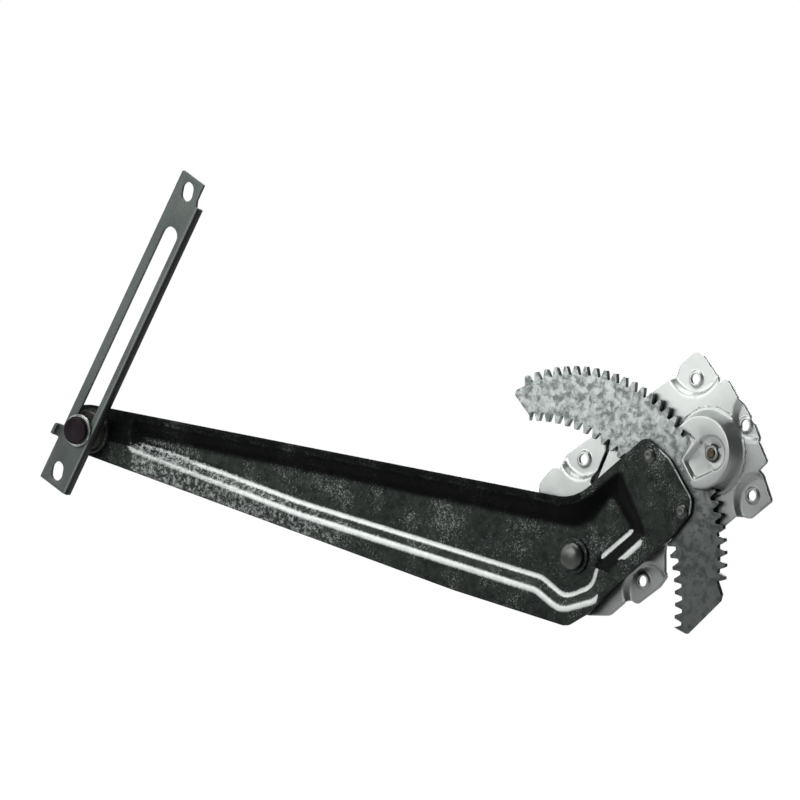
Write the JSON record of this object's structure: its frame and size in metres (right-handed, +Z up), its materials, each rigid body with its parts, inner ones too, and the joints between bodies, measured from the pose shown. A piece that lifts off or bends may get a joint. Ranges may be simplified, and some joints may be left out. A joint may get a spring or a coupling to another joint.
{
  "type": "window regulator",
  "caption": "Crank-driven window lift: a toothed sector on a swinging arm, a pinion under a domed base plate, and a slotted rail for the glass.",
  "frame": {"origin": "where the lift arm's pivot axis meets the mounting plane, on the flat tail of the pivot stud", "axes": "+X to the right and +Z up seen from the glass side, -Y towards the glass and +Y towards the cabin, along the pivot axis"},
  "size_m": [0.5681, 0.0593, 0.2936],
  "materials": {
    "bright_zinc": "bright zinc-plated pressed steel, satin",
    "spangled_galvanised": "hot-dip galvanised with grey spangle",
    "dark_galvanised": "dark galvanised pressed steel with a fine grey speckle",
    "oiled_steel": "machined steel, lightly oiled",
    "sintered_bronze": "oiled sintered bronze",
    "phosphated_steel": "matt grey-green phosphate coating on steel",
    "cap_plastic": "dark moulded plastic",
    "roller_nylon": "dark greased nylon",
    "seal_rubber": "black rubber"
  },
  "bodies": {
    "base": {"base_plate": "bright_zinc", "clutch_housing": "bright_zinc", "pivot_stud": "oiled_steel", "pivot_bush": "sintered_bronze", "pivot_washer": "oiled_steel", "front_bush": "spangled_galvanised", "spindle_seal": "seal_rubber"},
    "arm": {"lift_arm": "dark_galvanised", "sector_gear": "spangled_galvanised", "sector_rivet_upper": "oiled_steel", "sector_rivet_lower": "oiled_steel", "roller_stud": "oiled_steel", "roller_spacer": "dark_galvanised", "roller_cap": "cap_plastic"},
    "drive": {"drive_spindle": "oiled_steel", "pinion": "oiled_steel", "clutch_core": "oiled_steel", "clutch_driver": "oiled_steel", "clutch_spring": "oiled_steel", "thrust_washer": "spangled_galvanised"},
    "roller": {"guide_roller": "roller_nylon", "roller_washer": "spangled_galvanised"},
    "rail": {"glass_rail": "phosphated_steel"}
  },
  "joints": [
    {"name": "arm_swing", "type": "hinge", "parent": "base", "child": "arm", "pos_m": [0, 0, 0], "axis": [0, 1, 0], "range_deg": [-33, 75]},
    {"name": "crank_turn", "type": "hinge", "parent": "base", "child": "drive", "pos_m": [0.11255, 0, 0.06498], "axis": [0, 1, 0], "range_deg": [-784, 345]},
    {"name": "roller_swivel", "type": "hinge", "parent": "arm", "child": "roller", "pos_m": [-0.38546, -0.0255, 0.07912], "axis": [0, 1, 0], "continuous": true},
    {"name": "rail_slide", "type": "slide", "parent": "roller", "child": "rail", "axis": [0.512, 0, 0.859], "range_m": [-0.144, 0]}
  ],
  "couplings": [
    {"joint": "crank_turn", "follows": "arm_swing", "ratio": -10.444}
  ]
}
